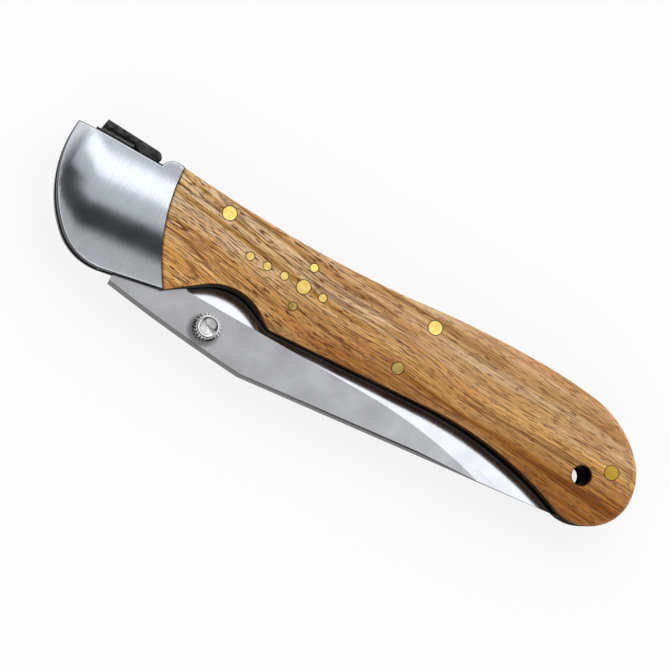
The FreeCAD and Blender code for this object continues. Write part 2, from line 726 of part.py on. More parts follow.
scale_blank = outline_blank("scale_blank", LINER_OUT, "scale_thick + 1")
seam_cut(scale_blank, "scale_seam", "-2 * nose_reach")
scale_crowned = common("scale_crowned", scale_blank, form)
scale_soft = softened("scale_soft", scale_crowned, "scale_round",
                      lambda point: on_seam(point) or in_notch(point))
scale_plain = cut("scale_plain", scale_soft, rivet_drills + [lanyard_drill, belly_drill])
scale_rear = mirrored("scale_rear", scale_plain)
cross_drills = [drill("cross_centre", "cross_x", "cross_y", "cross_radius + pin_fit", "0")]
for number, (x, y) in enumerate(CROSS):
    cross_drills.append(drill("cross_%d" % number, x, y, "small_radius + pin_fit", "0"))
scale_front = cut("scale_front", scale_plain, cross_drills)

spacer_blank = outline_blank("spacer_blank", "0", "2 * " + SLOT_HALF, True)
spacer_room = new_sketch(spacer_blank, "spacer_room")
room_front = "tail_end + spacer_gap"
room_low = "edge_y + spacer_clear"
room_radius = EDGE_RADIUS + " + spacer_clear"
room_end = "butt_reach"
room_end_y = "edge_y - %s + sqrt((%s)^2 - (butt_reach - edge_end)^2)" % (EDGE_RADIUS, room_radius)
room_corners = [(room_front, "3 * hump_y"), (room_front, room_low), ("edge_end", room_low),
                (room_end, room_end_y), (room_end, "-3 * hump_y"), ("-3 * nose_reach", "-3 * hump_y"),
                ("-3 * nose_reach", "3 * hump_y")]
room_steps = [(spot(*corner), None, 0, "corner") for corner in room_corners[1:] + room_corners[:1]]
room_steps[2] = (spot(room_end, room_end_y), spot("edge_end", "edge_y - " + EDGE_RADIUS), -1, "corner")
room_ends = trace(spacer_room, spot(*room_corners[0]), room_steps)
for end, corner in zip(room_ends, room_corners[1:] + room_corners[:1]):
    fix_end(spacer_room, end, *corner)
fix_radius(spacer_room, room_ends[2], room_radius)
pocket(spacer_blank, spacer_room)
spring_seat = new_sketch(spacer_blank, "spring_seat")
spring_top = "tail_y - spring_gap"
seat_low = "tail_y - spring_gap - spring_thick - pin_fit"
seat_top = spring_top + " + pin_fit"
seat_end = "spring_root + pin_fit"
polygon(spring_seat, [("tail_end", seat_top), (seat_end, seat_top),
                      (seat_end, seat_low), ("tail_end", seat_low)])
pocket(spacer_blank, spring_seat)
back_spacer = cut("back_spacer", spacer_blank, rivet_drills[1:] + [lanyard_drill])

# Leaf spring with a rounded free end

lock_spring = new_body("lock_spring")
leaf = new_sketch(lock_spring, "leaf")
leaf_low = spring_top + " - spring_thick"
tip_centre = spot("spring_tip + spring_thick / 2", spring_top + " - spring_thick / 2")
leaf_ends = trace(leaf, spot("spring_tip + spring_thick / 2", spring_top), [
    (spot("spring_root", spring_top), None, 0, "corner"),
    (spot("spring_root", leaf_low), None, 0, "corner"),
    (spot("spring_tip + spring_thick / 2", leaf_low), None, 0, "corner"),
    (spot("spring_tip + spring_thick / 2", spring_top), tip_centre, -1, "corner"),
])
fix_end(leaf, leaf_ends[0], "spring_root", spring_top)
fix_end(leaf, leaf_ends[1], "spring_root", leaf_low)
fix_end(leaf, leaf_ends[2], "spring_tip + spring_thick / 2", leaf_low)
fix_end(leaf, leaf_ends[3], "spring_tip + spring_thick / 2", spring_top)
fix_centre(leaf, leaf_ends[3], "spring_tip + spring_thick / 2")
pad(lock_spring, leaf, "2 * (%s - side_fit)" % SLOT_HALF, True)

# Blade: outline with tang, hollow grind on both sides, holes

blade = new_body("blade")
blade_outline = new_sketch(blade, "blade_outline")
pivot = Vector(0, 0, 0)
bow_centre = spot(BOW_X, BOW_Y)
bow_end = along(bow_centre, pivot, value("bow_radius"))
tooth = spot("tooth_x", "%s - sqrt(bow_radius^2 - (tooth_x - %s)^2)" % (BOW_Y, BOW_X))
kick_run = "sqrt(tang_radius^2 - kick_y^2)"
edge_centre = spot("edge_end", "edge_y - " + EDGE_RADIUS)
shoulder_corner = spot("shoulder_x", "-shoulder_drop")
spine_hump = spot("spine_x", "-blade_drop")
blade_ends = trace(blade_outline, shoulder_corner, [
    (spot("shoulder_x", "-lock_floor"), None, 0, "corner"),
    (spot("tooth_x", "-lock_floor"), None, 0, "corner"),
    (tooth, None, 0, "corner"),
    (bow_end, bow_centre, -1, "smooth"),
    (spot(kick_run, "kick_y"), pivot, -1, "corner"),
    (spot("kick_end", "kick_y"), None, 0, "corner"),
    (spot("choil_end", "edge_y"), None, 0, "corner"),
    (spot("edge_end", "edge_y"), None, 0, "corner"),
    (spot(POINT_X, "-point_drop"), edge_centre, -1, "corner"),
    (spine_hump, None, 0, "corner"),
    (shoulder_corner, centre_between(spine_hump, shoulder_corner, value("spine_radius"), -1), -1, "corner"),
])
fix_end(blade_outline, blade_ends[0], "shoulder_x", "-lock_floor")
fix_end(blade_outline, blade_ends[1], "tooth_x", "-lock_floor")
fix_end(blade_outline, blade_ends[2], "tooth_x")
fix_radius(blade_outline, blade_ends[3], "bow_radius")
fix_centre(blade_outline, blade_ends[3], None, BOW_Y)
blade_outline.addConstraint(Sketcher.Constraint("Coincident", blade_ends[4][0], 3, -1, 1))
fix_radius(blade_outline, blade_ends[4], "tang_radius")
fix_end(blade_outline, blade_ends[4], None, "kick_y")
fix_end(blade_outline, blade_ends[5], "kick_end", "kick_y")
fix_end(blade_outline, blade_ends[6], "choil_end", "edge_y")
fix_end(blade_outline, blade_ends[7], "edge_end", "edge_y")
fix_end(blade_outline, blade_ends[8], POINT_X, "-point_drop")
fix_radius(blade_outline, blade_ends[8], EDGE_RADIUS)
fix_end(blade_outline, blade_ends[9], "spine_x", "-blade_drop")
fix_end(blade_outline, blade_ends[10], "shoulder_x", "-shoulder_drop")
fix_radius(blade_outline, blade_ends[10], "spine_radius")
blade_flat = pad(blade, blade_outline, "blade_thick", True)

blade_holes = new_sketch(blade, "blade_holes")
ring(blade_holes, "0", "0", "pivot_radius + run_fit")
ring(blade_holes, "stud_x", "-stud_drop", "shank_radius + pin_fit")
pocket(blade, blade_holes)

wheel = new_sketch(blade, "wheel", "YZ_Plane", ("0", "0", "grind_start"))
cheek_z = "blade_thick / 2"
cheek_top = "blade_thick / 2 + 1"
outside = "edge_y + 2"
grind_line = "edge_y - grind_height"
edge_point = spot("edge_y", "edge_half")
line_point = spot(grind_line, cheek_z)
wheel_ends = trace(wheel, spot(outside, "edge_half"), [
    (edge_point, None, 0, "corner"),
    (line_point, centre_between(edge_point, line_point, value("hollow_radius"), -1), -1, "corner"),
    (spot(grind_line, cheek_top), None, 0, "corner"),
    (spot(outside, cheek_top), None, 0, "corner"),
    (spot(outside, "edge_half"), None, 0, "corner"),
])
fix_end(wheel, wheel_ends[0], "edge_y", "edge_half")
fix_end(wheel, wheel_ends[1], grind_line, cheek_z)
fix_radius(wheel, wheel_ends[1], "hollow_radius")
fix_end(wheel, wheel_ends[2], grind_line, cheek_top)
fix_end(wheel, wheel_ends[3], outside, cheek_top)
fix_end(wheel, wheel_ends[4], outside, "edge_half")
hinge_line = Part.LineSegment(spot(grind_line, "plunge_radius"), spot(outside, "plunge_radius"))
hinge = wheel.addGeometry(hinge_line, True)
fix_point(wheel, (hinge, 1), grind_line, "plunge_radius")
fix_point(wheel, (hinge, 2), outside, "plunge_radius")

pass_line = new_sketch(blade, "pass_line")
past_point = POINT_X + " + grind_height"
past_y = "edge_y - %s + sqrt(%s^2 - (%s - edge_end)^2)" % (EDGE_RADIUS, EDGE_RADIUS, past_point)
pass_ends = trace(pass_line, spot("grind_start", "edge_y"), [
    (spot("edge_end", "edge_y"), None, 0, "corner"),
    (spot(past_point, past_y), edge_centre, -1, "corner"),
], closed=False)
fix_point(pass_line, (pass_ends[0][0], pass_ends[0][1]), "grind_start", "edge_y")
fix_end(pass_line, pass_ends[0], "edge_end", "edge_y")
fix_end(pass_line, pass_ends[1], past_point, past_y)
fix_radius(pass_line, pass_ends[1], EDGE_RADIUS)

hollow = blade.newObject("PartDesign::SubtractivePipe", "hollow_grind")
hollow.Profile = wheel
hollow.Spine = (pass_line, [])
runout = blade.newObject("PartDesign::Groove", "hollow_runout")
runout.Profile = wheel
runout.ReferenceAxis = (wheel, ["Axis0"])
runout.setExpression("Angle", sized("runout_angle"))
blade.Tip = runout
both_cheeks = blade.newObject("PartDesign::Mirrored", "both_cheeks")
both_cheeks.Originals = [hollow, runout]
both_cheeks.MirrorPlane = ([item for item in blade.Origin.OriginFeatures if item.Role == "XY_Plane"][0], [""])
blade.Tip = both_cheeks

# Thumb studs

def stud_body(name, profile):
    """A turned stud with a knurled side."""
    body = new_body(name)
    place(body, "stud_x", "-stud_drop")
    sketch = new_sketch(body, name + "_profile", "XZ_Plane")
    polygon(sketch, profile)
    turn = body.newObject("PartDesign::Revolution", name + "_turned")
    turn.Profile = sketch
    turn.ReferenceAxis = (sketch, ["V_Axis"])
    turn.Angle = 360
    knurl = new_sketch(body, name + "_knurl")
    deep = "stud_top - knurl_depth"
    clear = "stud_radius + knurl_depth"
    polygon(knurl, [(deep, "pin_fit"), (clear, "-knurl_half"), (clear, "knurl_half")])
    groove = body.newObject("PartDesign::Pocket", name + "_knurl_cut")
    groove.Profile = knurl
    groove.Reversed = True
    groove.setExpression("Length", sized("blade_thick / 2 + stud_height + 1"))
    groove.Offset = 0
    body.Tip = groove
    pattern = body.newObject("PartDesign::PolarPattern", name + "_knurls")
    pattern.Originals = [groove]
    pattern.Axis = (knurl, ["N_Axis"])
    pattern.Angle = 360
    pattern.setExpression("Occurrences", sized("knurl_count"))
    body.Tip = pattern
    return body


FACE = "blade_thick / 2"
TOP = "blade_thick / 2 + stud_height"
COLLAR = "blade_thick / 2 + stud_collar"
thumb_stud = stud_body("thumb_stud", [
    ("0.0", "-blade_thick / 2 - shank_end"), ("shank_radius", "-blade_thick / 2 - shank_end"),
    ("shank_radius", FACE), ("stud_radius", FACE), ("stud_radius", COLLAR), ("stud_top", TOP),
    ("dish_radius", TOP), ("0.0", TOP + " - dish_depth"),
])
stud_far = stud_body("stud_far", [
    ("shank_radius + pin_fit", FACE), ("stud_radius", FACE), ("stud_radius", COLLAR), ("stud_top", TOP),
    ("dish_radius", TOP), ("0.0", TOP + " - dish_depth"), ("0.0", FACE + " + shank_end + pin_fit"),
    ("shank_radius + pin_fit", FACE + " + shank_end + pin_fit"),
])
thumb_stud_rear = mirrored("thumb_stud_rear", stud_far)

# Lock bar: a web between the liners, and the wide thumb lip on its front end

lock_bar = new_body("lock_bar")
web = new_sketch(lock_bar, "lock_web")
nose = "nose_gap - shoulder_x"
lug_back = "-tooth_x - nose_gap"
web_top = "lip_low - lip_round / 2"
waist_radius = "((valley_x - bump_x)^2 + (bump_y - valley_y)^2) / (2 * (bump_y - valley_y))"
bar_radius = waist_radius + " + back_inset"
bar_centre_y = "valley_y + " + waist_radius
bar_front = "bump_x"
bar_front_y = "%s - sqrt((%s)^2 - (valley_x - bump_x)^2)" % (bar_centre_y, bar_radius)
bar_tail_y = "%s - sqrt((%s)^2 - (valley_x - tail_end)^2)" % (bar_centre_y, bar_radius)
roof_radius = "(bow_radius + roof_gap)"
roof_end = "sqrt(%s^2 - (web_y + %s)^2) - %s" % (roof_radius, BOW_Y, BOW_X)
roof_front_y = "sqrt(%s^2 - (%s + %s)^2) - %s" % (roof_radius, lug_back, BOW_X, BOW_Y)
boss_right = "rocker_x + sqrt(boss_radius^2 - (rocker_y - tail_y)^2)"
boss_left = "rocker_x - sqrt(boss_radius^2 - (rocker_y - web_y)^2)"
web_corners = [
    (nose, "strip_y"), ("-lip_round / 4", "strip_y"), ("lip_round / 4", web_top),
    ("lip_back - lip_round", web_top),
    ("lip_back - lip_round / 4", "nub_y"), ("relief_end + lip_round / 4", "nub_y"), (bar_front, bar_front_y),
    ("tail_end", bar_tail_y), ("tail_end", "tail_y"), (boss_right, "tail_y"), (boss_left, "web_y"),
    (roof_end, "web_y"), (lug_back, roof_front_y), (lug_back, "lug_y"), (nose, "lug_y"),
]
web_steps = [(spot(*corner), None, 0, "corner") for corner in web_corners[1:] + web_corners[:1]]
web_steps[6] = (spot("tail_end", bar_tail_y), spot("valley_x", bar_centre_y), 1, "corner")
web_steps[9] = (spot(boss_left, "web_y"), spot("rocker_x", "rocker_y"), -1, "corner")
web_steps[11] = (spot(lug_back, roof_front_y), spot("-" + BOW_X, "-" + BOW_Y), 1, "corner")
web_ends = trace(web, spot(*web_corners[0]), web_steps)
for end, corner in zip(web_ends, web_corners[1:] + web_corners[:1]):
    fix_end(web, end, *corner)
fix_radius(web, web_ends[6], bar_radius)
fix_radius(web, web_ends[9], "boss_radius")
fix_radius(web, web_ends[11], roof_radius)
pad(lock_bar, web, "2 * (%s - side_fit)" % SLOT_HALF, True)

lip = new_sketch(lock_bar, "thumb_lip")
lip_floor = "strip_y + slit"
lip_rest = "relief_y + lip_seat"
lip_corners = [
    ("-lip_front", lip_floor), ("lip_rake - lip_front", "lip_high"), ("lip_back - lip_round", "lip_low"),
    ("lip_back", "lip_low - lip_round"), ("lip_back - lip_round / 2", lip_rest), ("lip_round / 2", lip_rest),
    ("-lip_round / 4", lip_floor),
]
lip_steps = [(spot(*corner), None, 0, "corner") for corner in lip_corners[1:] + lip_corners[:1]]
lip_bend = spot("lip_back - lip_round", "lip_low - lip_round")
lip_steps[2] = (spot("lip_back", "lip_low - lip_round"), lip_bend, -1, "corner")
lip_ends = trace(lip, spot(*lip_corners[0]), lip_steps)
for end, corner in zip(lip_ends, lip_corners[1:] + lip_corners[:1]):
    fix_end(lip, end, *corner)
fix_radius(lip, lip_ends[2], "lip_round")
lip_pad = pad(lock_bar, lip, "2 * lip_half", True)
doc.recompute()
lip_sides = []
for number, edge in enumerate(lip_pad.Shape.Edges, start=1):
    box = edge.BoundBox
    if box.ZLength < 0.001 and abs(abs(box.ZMin) - value("lip_half")) < 0.001:
        lip_sides.append("Edge%d" % number)
lip_soft = lock_bar.newObject("PartDesign::Fillet", "lip_soft")
lip_soft.Base = (lip_pad, lip_sides)
lip_soft.setExpression("Radius", sized("lip_edge"))
rocker_hole = new_sketch(lock_bar, "rocker_hole")
ring(rocker_hole, "rocker_x", "rocker_y", "rivet_radius + run_fit")
pocket(lock_bar, rocker_hole)

# Rivets, pins and washers

through = {name: common(name, rod(name + "_rod", x, y, "rivet_radius", "-(%s)" % OUT, OUT), form)
           for name, x, y in RIVETS}
belly_rod = rod("belly_rivet_rod", "belly_rivet_x", "belly_rivet_y", "belly_rivet_radius", SLOT_HALF, OUT)
belly_front = common("belly_rivet_front", belly_rod, form)
belly_rivets = group("belly_rivets", [belly_front, mirrored("belly_rivet_rear", belly_front)])
cross_rod = rod("cross_centre_rod", "cross_x", "cross_y", "cross_radius", LINER_OUT, OUT)
cross_centre_pin = common("cross_centre_pin", cross_rod, form)
small_rods = [rod("cross_rod_%d" % number, x, y, "small_radius", LINER_OUT, OUT)
              for number, (x, y) in enumerate(CROSS)]
cross_small_pins = common("cross_small_pins", group("cross_rods", small_rods), form)

PIN_TOP = LINER_OUT + " + blind_depth"
pivot_pin = rod("pivot_pin", "0", "0", "pivot_radius", "-(%s)" % PIN_TOP, PIN_TOP)
stop_pin = rod("stop_pin", "stop_x", STOP_Y, "stop_radius", "-" + LINER_OUT, LINER_OUT)
near_pins = [rod("bolster_pin_%d" % number, x, y, "bolster_pin", SLOT_HALF, PIN_TOP)
             for number, (x, y) in enumerate(BOLSTER_PINS)]
far_pins = [mirrored(pin.Name + "_rear", pin) for pin in near_pins]
bolster_pins = group("bolster_pins", near_pins + far_pins)

washer_disc = rod("washer_disc", "0", "0", "washer_radius", "blade_thick / 2", SLOT_HALF)
washer_front = cut("washer_front", washer_disc, [drill("washer", "0", "0", "pivot_radius + run_fit")])
washer_rear = mirrored("washer_rear", washer_front)

# Checks and files

NODES = [
    blade, thumb_stud, thumb_stud_rear, pivot_pin, washer_front, washer_rear, liner_front, liner_rear,
    bolster_front, bolster_rear, bolster_pins, scale_front, scale_rear, lock_bar, lock_spring, back_spacer,
    stop_pin, belly_rivets, cross_centre_pin, cross_small_pins,
] + list(through.values())

doc.recompute()
for item in doc.Objects:
    if "Invalid" in item.State or "Error" in item.State:
        raise RuntimeError("%s did not build: %s" % (item.Name, item.State))
os.makedirs("parts", exist_ok=True)
for item in NODES:
    item.Label = item.Name
    shape = item.Shape
    if shape.isNull() or not shape.isValid() or not shape.Solids:
        raise RuntimeError("%s has no sound shape" % item.Label)
    shape.exportStep("parts/%s.step" % item.Label)
    print("%-18s %2d solids %9.2f mm3" % (item.Label, len(shape.Solids), shape.Volume))
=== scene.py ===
"""A folding pocket knife: looks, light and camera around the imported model.

Wooden scales with brass pins, satin steel bolsters, a black lock bar with a thumb lip, and a hollow-ground
blade with a knurled stud.
"""
import math

import bmesh
import bpy
import numpy as np
from mathutils import Matrix


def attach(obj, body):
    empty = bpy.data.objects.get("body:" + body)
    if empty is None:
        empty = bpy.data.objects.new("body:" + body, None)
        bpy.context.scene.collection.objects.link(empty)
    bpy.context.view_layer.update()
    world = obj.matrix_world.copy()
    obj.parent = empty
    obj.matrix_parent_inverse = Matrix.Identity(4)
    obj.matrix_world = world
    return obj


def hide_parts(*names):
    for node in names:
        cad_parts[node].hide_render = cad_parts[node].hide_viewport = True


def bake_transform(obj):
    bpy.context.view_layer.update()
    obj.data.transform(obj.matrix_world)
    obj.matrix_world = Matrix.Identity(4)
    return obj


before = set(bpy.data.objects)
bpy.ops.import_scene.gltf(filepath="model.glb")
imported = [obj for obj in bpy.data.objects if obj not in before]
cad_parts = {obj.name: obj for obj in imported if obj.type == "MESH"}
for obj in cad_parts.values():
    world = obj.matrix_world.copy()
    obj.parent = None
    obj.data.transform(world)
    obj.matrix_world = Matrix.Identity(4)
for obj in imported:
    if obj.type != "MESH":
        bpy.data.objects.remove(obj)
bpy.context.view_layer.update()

MM = 0.001
PIVOT = (-49.25, 0.425, 6.9)      # the blade's pivot in the shared frame, mm; patterns are laid out from it
STUD = (27.3, -10.3)              # the thumb stud, x and y in mm from the pivot


# Small helpers

def colour(code):
    """An sRGB hex colour as linear RGBA: each channel c is c/12.92 up to 0.04045, and above that
    ((c + 0.055)/1.055)^2.4."""
    c = np.array([int(code[i:i + 2], 16) for i in (1, 3, 5)]) / 255
    c = np.where(c <= 0.04045, c / 12.92, ((c + 0.055) / 1.055) ** 2.4)
    return (*c.tolist(), 1.0)


def add(tree, kind, inputs=(), stops=(), **settings):
    """Adds a node. inputs gives sockets values or other nodes' outputs, stops fills a colour ramp."""
    n = tree.nodes.new(kind)
    for name, value in settings.items():
        setattr(n, name, value)
    for socket, value in dict(inputs).items():
        if isinstance(value, bpy.types.Node):
            value = value.outputs[0]
        if isinstance(value, bpy.types.NodeSocket):
            tree.links.new(value, n.inputs[socket])
        else:
            n.inputs[socket].default_value = value
    for i, (at, code) in enumerate(stops):
        e = n.color_ramp.elements
        stop = e[i] if i < len(e) else e.new(at)
        stop.position = at
        stop.color = colour(code)
    return n


def maths(tree, operation, *values, **settings):
    """Arithmetic on one to three numbers."""
    return add(tree, "ShaderNodeMath", dict(enumerate(values)), operation=operation, **settings)


def vectors(tree, operation, first, second, output="Vector"):
    """Arithmetic on two vectors."""
    return add(tree, "ShaderNodeVectorMath", {0: first, 1: second}, operation=operation).outputs[output]


def axes(tree, vector):
    """A vector's X, Y and Z."""
    return add(tree, "ShaderNodeSeparateXYZ", {"Vector": vector}).outputs


def remap(tree, value, start, end, low=0.0, high=1.0, smooth=False):
    """Goes from low to high while the value goes from start to end, and stays level beyond them."""
    return add(tree, "ShaderNodeMapRange",
               {"Value": value, "From Min": start, "From Max": end, "To Min": low, "To Max": high},
               interpolation_type="SMOOTHSTEP" if smooth else "LINEAR")


def mix(tree, factor, first, second, blend="MIX"):
    """Goes from the first colour to the second by the factor. A colour is a hex code, a node or a socket."""
    first, second = (colour(c) if isinstance(c, str) else c for c in (first, second))
    return add(tree, "ShaderNodeMix", {"Factor": factor, 6: first, 7: second}, data_type="RGBA",
               blend_type=blend).outputs[2]


def noise(tree, vector, waves, detail, rough=0.5, shift=(0.0, 0.0, 0.0)):
    """Noise with that many waves per mm: one number, or one for each axis with the pattern shifted."""
    if isinstance(waves, tuple):
        vector = add(tree, "ShaderNodeMapping", {"Vector": vector, "Scale": waves, "Location": shift})
        waves = 1.0
    return add(tree, "ShaderNodeTexNoise",
               {"Vector": vector, "Scale": waves, "Detail": detail, "Roughness": rough})


def bumps(tree, height, strength, depth):
    """Normals of a relief with that depth in mm."""
    return add(tree, "ShaderNodeBump", {"Height": height, "Strength": strength, "Distance": depth * MM})


def material(name):
    """A new node material and its tree, with Object coordinates in millimetres from the blade's pivot."""
    m = bpy.data.materials.new(name)
    m.use_nodes = True
    t = m.node_tree
    t.nodes.clear()
    here = add(t, "ShaderNodeTexCoord").outputs["Object"]
    mm = add(t, "ShaderNodeMapping",
             {"Vector": here, "Location": [-v for v in PIVOT], "Scale": (1 / MM, 1 / MM, 1 / MM)})
    return m, t, mm


def surface(tree, inputs):
    """Ends a material's tree with a Principled surface."""
    shader = add(tree, "ShaderNodeBsdfPrincipled", inputs)
    add(tree, "ShaderNodeOutputMaterial", {"Surface": shader})


# Materials

SPREAD = (0.3, 0.7)               # nearly all values of a noise lie between these
PLAN = (1.0, 1.0, 0.0)            # times a place, leaves its x and y
RIM = (0.80, 0.62)                # z of a normal at which a rounded edge's dark rim, painted shade, starts and is full
WALLS = (0.30, 0.12)              # and at which a wall's darker tone, painted shade, does
JOINT_HALF = 0.07                 # half the width of a joint's line, mm
STUD_SHADOW_REACH = (3.5, 2.4)          # radius in mm at which the stud's painted shadow starts and is full
STUD_SHADOW_SHIFT = (-0.2, -0.7)        # from the stud to the middle of its painted shadow, towards the spine, mm


def satin_steel(name, low, high, rough, depth, rim, edge, dull, joint=0.0, turn=RIM, stud_shadow=None):
    """Stainless steel with a satin finish from a fine belt: a soft, slightly streaked reflection, and
    darker, duller edges and walls, painted shade for the dark that they mirror. With a joint, a dark line on
    the walls that far from the middle, where two layers meet. Given a place on x and y, a painted shadow of
    the stud darkens the steel round it. The belt's scratches are 0.05 mm apart on the real one; they are
    drawn 0.3 mm apart, so that they show. low and high are its tones, rim that of rounded edges, edge that
    of walls and dull the walls' sheen at a flat angle, these three painted shade; depth is how strong the
    scratches are, from 0 to 1."""
    m, t, mm = material(name)
    streak = noise(t, mm, (3.2, 0.16, 3.2), detail=3.0)
    cloud = noise(t, mm, 0.18, detail=2.0)
    tone = add(t, "ShaderNodeValToRGB", {"Fac": cloud}, stops=zip(SPREAD, (low, high)))
    brushed = remap(t, streak, *SPREAD, low=1.0 - 3.0 * depth)
    tone = mix(t, 1.0, tone, brushed, "MULTIPLY")

    normal = add(t, "ShaderNodeTexCoord").outputs["Normal"]
    upright = maths(t, "ABSOLUTE", axes(t, normal)["Z"])
    wall = remap(t, upright, *WALLS)
    # rounded edges and walls darkened and dulled: painted shade for the dark that they mirror
    tone = mix(t, remap(t, upright, *turn), tone, rim)
    tone = mix(t, wall, tone, edge)
    if joint:
        height = maths(t, "ABSOLUTE", axes(t, mm)["Z"])
        line = maths(t, "COMPARE", height, joint, JOINT_HALF)
        tone = mix(t, maths(t, "MULTIPLY", line, wall), tone, "#161616")
    # painted shadow of the stud on the steel round it
    if stud_shadow:
        away = vectors(t, "DISTANCE", vectors(t, "MULTIPLY", mm, PLAN), (*stud_shadow, 0.0), "Value")
        tone = mix(t, remap(t, away, *STUD_SHADOW_REACH, high=0.6, smooth=True), tone, "#2A2A28")

    gloss = remap(t, cloud, *SPREAD, low=rough - 0.015, high=rough + 0.02)
    surface(t, {"Base Color": tone, "Metallic": 1.0, "Roughness": gloss,
                "Specular Tint": mix(t, wall, "#FFFFFF", dull),
                "Normal": bumps(t, streak, strength=depth, depth=0.02)})
    return m


PINS = [(20.5, 9.25, 1.28), (63.1, 9.9, 1.28), (104.1, 3.0, 1.28), (60.7, 0.1, 1.05), (38.6, 4.3, 1.25),
        (42.6, 4.3, 0.72), (38.6, 8.3, 0.72), (38.6, 0.3, 0.72), (34.6, 4.3, 0.72), (31.05, 4.3, 0.72),
        (27.5, 4.3, 0.72), (99.5, -0.15, 1.83)]       # x, y, radius in mm of what goes through the wood
SEAM = (44.35, 13.05, 35.0)       # x, y, radius in mm of the arc where wood and bolster meet
SEAM_END = 20.0                   # x in mm beyond which that arc is no seam
SEAM_SHARE = 0.55                 # distances from the seam count by this share, so that its dirt is wider
DIRT = (0.06, 0.30)               # distance in mm from a joint at which its dirt is full and ends

GRAIN_SWAY = 4.5                  # how far the grain wanders across the handle, mm
GRAIN_SHIFT = -3.2                # shift of the pattern at the bolster, mm, by which the grain climbs
GRAIN_TILT = math.radians(3.0)
FRONT = (60.0, 10.0)              # x in mm where the climb of the grain starts and is full
REAR = (25.0, 75.0)               # x in mm where the upper half's calm and the lower half's amber come in
LOWER = (7.5, 3.0)                # y in mm from the upper half's tone to the lower half's
AMBER = (5.0, -1.0)               # y in mm where the belly's painted shade starts and is full
BELLY = (4.0, -2.0)               # y in mm where the belly's shade starts and is full
BELLY_REAR = (25.0, 50.0)         # x in mm where it does
FAINT_PORES = (35.0, 70.0)        # x in mm where the pores start to fade and are faintest
BANDS = [(0.30, "#A46F33"), (0.42, "#C89D5D"), (0.52, "#DDBF97"), (0.62, "#D2AA70"), (0.76, "#B47C38")]


